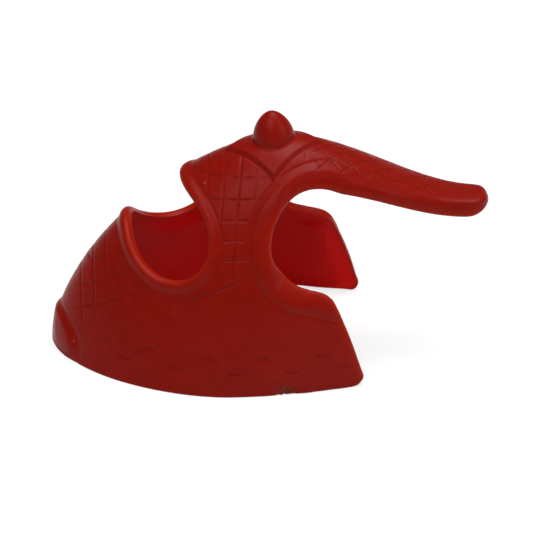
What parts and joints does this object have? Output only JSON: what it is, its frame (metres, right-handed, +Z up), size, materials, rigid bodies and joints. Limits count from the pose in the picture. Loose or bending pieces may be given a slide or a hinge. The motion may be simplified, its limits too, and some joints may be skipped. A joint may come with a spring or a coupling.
{
  "type": "toy animal helmet",
  "caption": "Hollow moulded helmet for a toy animal, with eye and ear openings, a studded crown plaque and a swept-back neck guard.",
  "frame": {"origin": "on the plane of the flat bottom rim, at the middle of the length and width", "axes": "+X towards the neck guard, with the nose at -X; +Z up; the mid-plane is y = 0"},
  "size_m": [0.085, 0.046, 0.0503],
  "materials": {
    "red_plastic": "semi-gloss moulded red plastic"
  },
  "bodies": {
    "root": {"helmet_shell": "red_plastic"}
  },
  "joints": []
}
